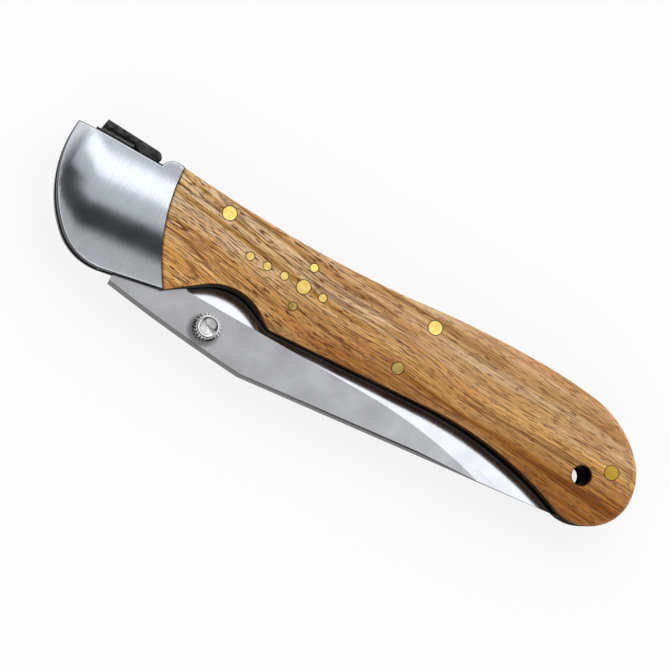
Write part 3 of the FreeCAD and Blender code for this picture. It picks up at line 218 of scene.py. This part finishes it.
def oiled_hardwood():
    """Open-pored golden hardwood, sanded and oiled: long tan and amber bands, thin dark lines and short dark
    pores along the handle, which fade towards the butt, painted shade on the belly and nearly black painted
    shade on the walls that face it, and dirt in the joint round each pin and along the bolster."""
    m, t, mm = material("oiled_hardwood")
    place = axes(t, mm)
    x, y = place["X"], place["Y"]

    bend = noise(t, mm, (0.028, 0.05, 0.05), detail=1.0)
    sway = vectors(t, "MULTIPLY", bend.outputs["Color"], (0.0, GRAIN_SWAY, 0.0))
    front = remap(t, x, *FRONT)
    climb = maths(t, "MULTIPLY", maths(t, "MULTIPLY", front, front), GRAIN_SHIFT)
    sway = vectors(t, "ADD", sway, add(t, "ShaderNodeCombineXYZ", {"Y": climb}))
    wavy = vectors(t, "ADD", mm, sway)
    grain = add(t, "ShaderNodeMapping", {"Vector": wavy, "Rotation": (0.0, 0.0, GRAIN_TILT)})

    band = noise(t, grain, (0.014, 0.33, 0.33), detail=3.0, rough=0.6)
    tone = add(t, "ShaderNodeValToRGB", {"Fac": band}, stops=BANDS)
    fibre = noise(t, grain, (0.09, 3.0, 3.0), detail=2.0)
    tone = mix(t, 1.0, tone, remap(t, fibre, *SPREAD, low=0.70, high=1.34), "MULTIPLY")

    rear = remap(t, x, *REAR, high=0.8)
    lower = remap(t, y, *LOWER)
    calm = maths(t, "MULTIPLY", maths(t, "SUBTRACT", 1.0, lower), rear)
    tone = mix(t, maths(t, "MULTIPLY", calm, 0.6), tone, "#CDA070")
    amber = maths(t, "ADD", remap(t, y, *AMBER), maths(t, "MULTIPLY", rear, lower), use_clamp=True)
    tone = mix(t, amber, tone, "#FFE7BC", "MULTIPLY")
    # painted shade: the lower half darkens towards the belly, as if turned from the light
    dark = maths(t, "MULTIPLY", remap(t, y, *BELLY, high=0.58), remap(t, x, *BELLY_REAR))
    tone = mix(t, dark, tone, "#A67C42", "MULTIPLY")
    blush = noise(t, grain, (0.045, 0.22, 0.22), detail=2.0, shift=(2.0, 9.0, 0.0))
    tone = mix(t, remap(t, blush, 0.48, 0.68, high=0.55), tone, "#F4CCB0", "MULTIPLY")

    contour = noise(t, grain, (0.022, 0.42, 0.42), detail=2.0, shift=(7.0, 3.0, 0.0))
    off = maths(t, "ABSOLUTE", maths(t, "SUBTRACT", contour, 0.5))
    line = remap(t, off, 0.004, 0.035, low=0.62, high=0.0, smooth=True)
    line = maths(t, "MULTIPLY", line, remap(t, calm, 0.0, 0.8, low=1.0, high=0.55))
    tone = mix(t, line, tone, "#64330F")
    dash = noise(t, grain, (0.46, 4.1, 4.1), detail=2.0, rough=0.55)
    pore = remap(t, dash, 0.545, 0.615, high=0.92, smooth=True)
    pore = maths(t, "MULTIPLY", pore, remap(t, x, *FAINT_PORES, low=1.0, high=0.7))
    tone = mix(t, pore, tone, "#642F16")

    plan = vectors(t, "MULTIPLY", mm, PLAN)
    away = vectors(t, "DISTANCE", plan, (SEAM[0], SEAM[1], 0.0), "Value")
    near = maths(t, "MAXIMUM", maths(t, "SUBTRACT", SEAM[2], away), maths(t, "SUBTRACT", x, SEAM_END))
    near = maths(t, "MULTIPLY", near, SEAM_SHARE)
    for pin_x, pin_y, radius in PINS:
        away = vectors(t, "DISTANCE", plan, (pin_x, pin_y, 0.0), "Value")
        near = maths(t, "MINIMUM", near, maths(t, "SUBTRACT", away, radius))
    tone = mix(t, remap(t, near, *DIRT, low=0.85, high=0.0, smooth=True), tone, "#2E1A0A")

    # walls facing the belly, in the thumb notch and along the belly, are painted nearly black as painted
    # shade; all walls lose their sheen
    normal = axes(t, add(t, "ShaderNodeTexCoord").outputs["Normal"])
    wall = remap(t, maths(t, "ABSOLUTE", normal["Z"]), 0.35, 0.1, high=0.9)
    shine = remap(t, wall, 0.0, 0.9, low=0.15, high=0.0)
    belly = maths(t, "MULTIPLY", wall, remap(t, normal["Y"], 0.1, -0.25))
    tone = mix(t, belly, tone, "#2A180C")

    gloss = remap(t, pore, 0.0, 0.85, low=0.42, high=0.62)
    sunk = maths(t, "SUBTRACT", 1.0, pore)
    surface(t, {"Base Color": tone, "Roughness": gloss, "Specular IOR Level": shine,
                "Normal": bumps(t, sunk, strength=0.3, depth=0.04)})
    return m


BRASS_BUTT_SHADE = (80.0, 100.0)         # x in mm where the brass starts to be darkened to olive and is fully so, painted shade


def polished_brass():
    """Yellow brass rod filed flush and buffed with the wood: warm bright ends with fine random scratches,
    darkened to olive at the butt, a painted shade for its dimmer reflection there."""
    m, t, mm = material("polished_brass")
    blot = noise(t, mm, 1.3, detail=3.0)
    tone = add(t, "ShaderNodeValToRGB", {"Fac": blot}, stops=zip(SPREAD, ("#E6BC56", "#FAE08E")))
    # painted shade: olive towards the butt
    tone = mix(t, remap(t, axes(t, mm)["X"], *BRASS_BUTT_SHADE), tone, "#B8AD7C", "MULTIPLY")
    gloss = remap(t, blot, *SPREAD, low=0.30, high=0.42)
    surface(t, {"Base Color": tone, "Metallic": 1.0, "Roughness": gloss,
                "Normal": bumps(t, blot, strength=0.25, depth=0.08)})
    return m


def black_oxide_steel():
    """Steel blackened in a hot bath: nearly black with a dull sheen, paler in cloudy spots and along
    the edges where thumbs rub it."""
    m, t, mm = material("black_oxide_steel")
    rub = noise(t, mm, 0.9, detail=4.0)
    tone = add(t, "ShaderNodeValToRGB", {"Fac": rub}, stops=[(0.35, "#2A2A2B"), (0.75, "#5A5956")])
    rounded = add(t, "ShaderNodeBevel", {"Radius": 0.3 * MM}, samples=6)
    straight = add(t, "ShaderNodeNewGeometry").outputs["Normal"]
    worn = remap(t, vectors(t, "DOT_PRODUCT", rounded, straight, "Value"), 0.98, 0.80, high=0.8)
    gloss = remap(t, rub, *SPREAD, low=0.34, high=0.5)
    surface(t, {"Base Color": mix(t, worn, tone, "#8E8D8A"), "Metallic": 1.0, "Roughness": gloss,
                "Normal": bumps(t, rub, strength=0.3, depth=0.06)})
    return m


def plain_metal(name, low, high, rough):
    """A turned or rolled metal left as it was made: an even sheen with faint cloudy marks."""
    m, t, mm = material(name)
    cloud = noise(t, mm, 0.8, detail=3.0)
    tone = add(t, "ShaderNodeValToRGB", {"Fac": cloud}, stops=zip(SPREAD, (low, high)))
    gloss = remap(t, cloud, *SPREAD, low=rough - 0.05, high=rough + 0.07)
    surface(t, {"Base Color": tone, "Metallic": 1.0, "Roughness": gloss})
    return m


# rim, edge and dull paint shade on each steel's rounded edges and walls
FINISH = {
    "blade_steel": satin_steel("satin_blade_steel", "#B8B8B8", "#CACACA", rough=0.13, depth=0.0,
                               rim="#808080", edge="#5C5C5C", dull="#000000", turn=(0.98, 0.96),
                               stud_shadow=(STUD[0] + STUD_SHADOW_SHIFT[0], STUD[1] + STUD_SHADOW_SHIFT[1])),
    "bolster_steel": satin_steel("satin_bolster_steel", "#C2C6CA", "#CCCFD4", rough=0.19, depth=0.03,
                                 rim="#444444", edge="#8C8C8C", dull="#707070"),
    # the liners' dark tones are painted shade, for the shade inside the slot and the lanyard hole
    "liner_steel": satin_steel("rolled_liner_steel", "#4C4C4C", "#5A5A5A", rough=0.36, depth=0.0,
                               rim="#3A3A3A", edge="#6A6A6A", dull="#080808", joint=1.5),
    "stud_steel": plain_metal("turned_stud_steel", "#BEBEBC", "#D2D2D0", rough=0.16),
    "pin_steel": plain_metal("drawn_pin_steel", "#B0B0B0", "#C4C4C4", rough=0.3),
    "spring_steel": plain_metal("blued_spring_steel", "#55585E", "#6B6E74", rough=0.35),
    "black_steel": black_oxide_steel(),
    "bronze": plain_metal("phosphor_bronze", "#A8763E", "#BF8B50", rough=0.3),
    "brass": polished_brass(),
    "hardwood": oiled_hardwood(),
}


# Pieces

JOIN = 2e-7                       # corners of triangles nearer than this are one, m
LEVEL = 0.99999                   # from this z of its normal on, a face counts as level
UPRIGHT = 0.01                    # and below this one as a wall
BELLY_SIDE = -0.5                 # a wall whose normal has a y below this faces the belly
ONE_PLANE = math.radians(0.05)    # level faces that differ by less are joined
SPINE = (8.5, 72.0)               # x in mm from the shoulder to where the rounding starts to taper off
SPINE_ROUND = 0.65                # broken edges of the spine, mm
SPINE_FACETS = 3
STUD_HOLE = 2.5                   # edges this near to the stud's middle are its hole's, mm


def cut_across(b, x):
    """Cuts a mesh along a plane across the handle, x in mm from the pivot, and keeps both sides."""
    bmesh.ops.bisect_plane(b, geom=[*b.verts, *b.edges, *b.faces], plane_co=((PIVOT[0] + x) * MM, 0.0, 0.0),
                           plane_no=(1.0, 0.0, 0.0))


def round_spine(b):
    """Rounds the two long edges of the blade's spine, where its level sides meet the wall that faces the
    belly, by narrow facets, which taper off where the level sides run out. Those sides are first
    joined into single faces."""
    level = [e for e in b.edges if all(abs(f.normal.z) > LEVEL for f in e.link_faces)]
    bmesh.ops.dissolve_limit(b, angle_limit=ONE_PLANE, verts=[], edges=level)
    cut_across(b, SPINE[1])
    spine = []
    for e in b.edges:
        if len(e.link_faces) != 2:
            continue
        x, y = (np.array((e.verts[0].co + e.verts[1].co) / 2) / MM - PIVOT)[:2]
        side, wall = sorted((f.normal for f in e.link_faces), key=lambda n: -abs(n.z))
        meets = abs(side.z) > LEVEL and abs(wall.z) < UPRIGHT and wall.y < BELLY_SIDE
        if meets and x > SPINE[0] and math.hypot(x - STUD[0], y - STUD[1]) > STUD_HOLE:
            spine.append(e)
    middle = PIVOT[2] * MM
    ends = {}
    for v in sorted((v for e in spine for v in e.verts), key=lambda v: v.co.x):
        ends[v.co.z > middle] = v.co.copy()
    made = bmesh.ops.bevel(b, geom=spine, offset=SPINE_ROUND * MM, offset_type="OFFSET",
                           segments=SPINE_FACETS, profile=0.5, affect="EDGES", clamp_overlap=False)["verts"]
    for v in made:
        if v.co.x > (PIVOT[0] + SPINE[1] + SPINE_ROUND) * MM:
            v.co = ends[v.co.z > middle]
    bmesh.ops.remove_doubles(b, verts=made, dist=5 * JOIN)
    bmesh.ops.triangulate(b, faces=b.faces)


def smooth_copy(name, finish, angle, flats=False, cuts=()):
    """Stands for a CAD node: the same surface with its triangles joined, shaded round except where faces
    meet at more than the angle and, with flats, on the level faces. It is cut across at the cuts, in mm from
    the pivot, so that it can bend there. The blade's spine is rounded."""
    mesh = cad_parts[name].data.copy()
    mesh.name = name + "_smooth"
    b = bmesh.new()
    b.from_mesh(mesh)
    bmesh.ops.remove_doubles(b, verts=b.verts, dist=JOIN)
    for x in cuts:
        cut_across(b, x)
    if name == "blade":
        round_spine(b)
    b.to_mesh(mesh)
    b.free()
    mesh.shade_smooth()
    mesh.set_sharp_from_angle(angle=math.radians(angle))
    if flats:
        normals = np.zeros(len(mesh.polygons) * 3)
        mesh.polygons.foreach_get("normal", normals)
        mesh.polygons.foreach_set("use_smooth", np.abs(normals[2::3]) < LEVEL)
    mesh.materials.clear()
    mesh.materials.append(FINISH[finish])
    piece = bpy.data.objects.new(name + "_smooth", mesh)
    bpy.context.scene.collection.objects.link(piece)
    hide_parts(name)
    return piece


for name, body, finish, angle in [
    ("bolster_front", "handle", "bolster_steel", 28), ("bolster_rear", "handle", "bolster_steel", 28),
    ("scale_front", "handle", "hardwood", 28), ("scale_rear", "handle", "hardwood", 28),
    ("blade", "blade", "blade_steel", 3), ("thumb_stud", "blade", "stud_steel", 25),
    ("thumb_stud_rear", "blade", "stud_steel", 25), ("lock_bar", "lock_bar", "black_steel", 22),
    ("rivet_front", "handle", "brass", 25), ("rivet_middle", "handle", "brass", 25),
    ("rivet_butt", "handle", "brass", 25), ("belly_rivets", "handle", "brass", 25),
    ("cross_centre_pin", "handle", "brass", 25), ("cross_small_pins", "handle", "brass", 25),
]:
    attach(smooth_copy(name, finish, angle, flats=name == "blade"), body)

SPRING_FREE = (34.5, 35.1)        # x in mm from the lock bar's tail to the spacer that holds the leaf spring
SPRING_CUTS = 9
leaf = smooth_copy("lock_spring", "spring_steel", 25, cuts=np.linspace(*SPRING_FREE, SPRING_CUTS))
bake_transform(leaf)

for name, finish in [
    ("liner_front", "liner_steel"), ("liner_rear", "liner_steel"), ("back_spacer", "liner_steel"),
    ("pivot_pin", "pin_steel"), ("bolster_pins", "pin_steel"), ("stop_pin", "pin_steel"),
    ("washer_front", "bronze"), ("washer_rear", "bronze"),
]:
    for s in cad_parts[name].material_slots:
        s.material = FINISH[finish]


# Floor, light and camera

FLOOR_HALF = 3.0                  # half the floor's width, m
FLOOR_POINTS = 7                  # along each side
FLOOR_DROP = 0.02                 # below the knife, mm
FLOOR_WHITE = 0.82                # share of plain white where the floor is seen; the rest shows shadow


def floor():
    """A flat grid 6 m wide under the knife, white paper: lit as paper, and kept nearly white where it is
    seen."""
    side = np.linspace(-FLOOR_HALF, FLOOR_HALF, FLOOR_POINTS)
    u, v = np.meshgrid(side, side, indexing="ij")
    points = np.stack([u, v, np.full_like(u, -FLOOR_DROP * MM)], axis=-1).reshape(-1, 3)
    i = np.arange(FLOOR_POINTS ** 2).reshape(FLOOR_POINTS, FLOOR_POINTS)
    quads = np.stack([i[:-1, :-1], i[1:, :-1], i[1:, 1:], i[:-1, 1:]], axis=-1).reshape(-1, 4)
    mesh = bpy.data.meshes.new("floor")
    mesh.from_pydata(points.tolist(), [], quads.tolist())
    m = bpy.data.materials.new("white_paper")
    m.use_nodes = True
    t = m.node_tree
    t.nodes.clear()
    ray = add(t, "ShaderNodeLightPath").outputs
    seen = maths(t, "MAXIMUM", ray["Is Camera Ray"], ray["Is Glossy Ray"])
    seen = maths(t, "MAXIMUM", seen, ray["Is Transmission Ray"])
    paper = add(t, "ShaderNodeBsdfDiffuse", {"Color": colour("#FFFFFF")})
    glow = add(t, "ShaderNodeEmission", {"Color": colour("#FFFFFF"), "Strength": 1.0})
    shader = add(t, "ShaderNodeMixShader", {0: maths(t, "MULTIPLY", seen, FLOOR_WHITE), 1: paper, 2: glow})
    add(t, "ShaderNodeOutputMaterial", {"Surface": shader})
    mesh.materials.append(m)
    piece = bpy.data.objects.new("floor", mesh)
    bpy.context.scene.collection.objects.link(piece)


def put(name, data, side, up, back, at):
    """Adds a lamp or camera that looks against back, with its x along side and its y along up."""
    place = np.eye(4)
    place[:3, :3] = np.stack([side, up, back], axis=1)
    place[:3, 3] = at
    o = bpy.data.objects.new(name, data)
    o.matrix_world = Matrix(place.tolist())
    bpy.context.scene.collection.objects.link(o)
    return o


def softbox(name, tilt, turn, reach, slide, size, radiance, tint):
    """A flat lamp that faces the knife from a tilt off the vertical, towards a turn from the x axis, in
    degrees, and is slid along its length. Its power is radiance x pi x its area."""
    lamp = bpy.data.lights.new(name, "AREA")
    lamp.shape = "RECTANGLE"
    lamp.size, lamp.size_y = size
    lamp.energy = radiance * math.pi * size[0] * size[1]
    lamp.color = colour(tint)[:3]
    tilt, turn = math.radians(tilt), math.radians(turn)
    back = np.array([math.sin(tilt) * math.cos(turn), math.sin(tilt) * math.sin(turn), math.cos(tilt)])
    side = np.array([math.sin(turn), -math.cos(turn), 0.0])
    put(name, lamp, side, np.cross(back, side), back, reach * back + slide * side)


ROOM = [(0.0, "#FFFFFF"), (0.42, "#F4F4F4"), (0.66, "#343434"), (1.0, "#2C2C2C")]    # from horizon to top
ROOM_BACK = (0.39, 0.92, 0.0)     # where the room is brightest, seen from the knife
ROOM_SIDES = (-0.8, 0.8)          # share of that direction from which the lowest and highest level hold
ROOM_LEVELS = {"low": 0.9, "high": 1.6}


def studio():
    """A pale room with a dark ceiling, brighter behind the knife than in front of it; over the back a wide
    softbox with a bright middle, and a weaker one in front."""
    world = bpy.data.worlds.new("room")
    bpy.context.scene.world = world
    world.use_nodes = True
    t = world.node_tree
    t.nodes.clear()
    ray = add(t, "ShaderNodeTexCoord").outputs["Generated"]
    wall = add(t, "ShaderNodeValToRGB", {"Fac": axes(t, ray)["Z"]}, stops=ROOM)
    level = remap(t, vectors(t, "DOT_PRODUCT", ray, ROOM_BACK, "Value"), *ROOM_SIDES, **ROOM_LEVELS)
    add(t, "ShaderNodeOutputWorld",
        {"Surface": add(t, "ShaderNodeBackground", {"Color": wall, "Strength": level})})
    softbox("back_softbox", tilt=28.5, turn=76.0, reach=0.85, slide=-0.22, size=(1.54, 0.96), radiance=0.75,
            tint="#FAFBFF")
    softbox("back_softbox_middle", tilt=19.6, turn=64.0, reach=0.80, slide=-0.15, size=(1.5, 0.27),
            radiance=1.2, tint="#F4F8FF")
    softbox("front_softbox", tilt=45.0, turn=-105.0, reach=0.89, slide=0.0, size=(2.0, 0.72), radiance=0.65,
            tint="#FFFFFF")


CAMERA_TARGET = (-0.67, 0.72, 6.9)     # mm
CAMERA_LEAN = (-0.097, -0.105, 1.0)    # from the target to the camera
CAMERA_REACH = 735.0                   # mm
CAMERA_TURN = math.radians(29.5)
CAMERA_SENSOR = 36.0                   # width, mm
CAMERA_LENS = 216.9                    # mm
CAMERA_NEAR = 10.0                     # nothing nearer is drawn, mm


def camera():
    """Looks down on the knife from 735 mm, a little from the nose and belly side, turned 29.5 degrees."""
    back = np.array(CAMERA_LEAN)
    back /= np.linalg.norm(back)
    side = np.cross([-math.sin(CAMERA_TURN), math.cos(CAMERA_TURN), 0.0], back)
    side /= np.linalg.norm(side)
    lens = bpy.data.cameras.new("camera")
    lens.sensor_width = CAMERA_SENSOR
    lens.lens = CAMERA_LENS
    lens.clip_start = CAMERA_NEAR * MM
    at = np.array(CAMERA_TARGET) * MM + CAMERA_REACH * MM * back
    bpy.context.scene.camera = put("camera", lens, side, np.cross(back, side), back, at)


floor()
studio()
camera()
bpy.context.scene.view_settings.view_transform = "Standard"
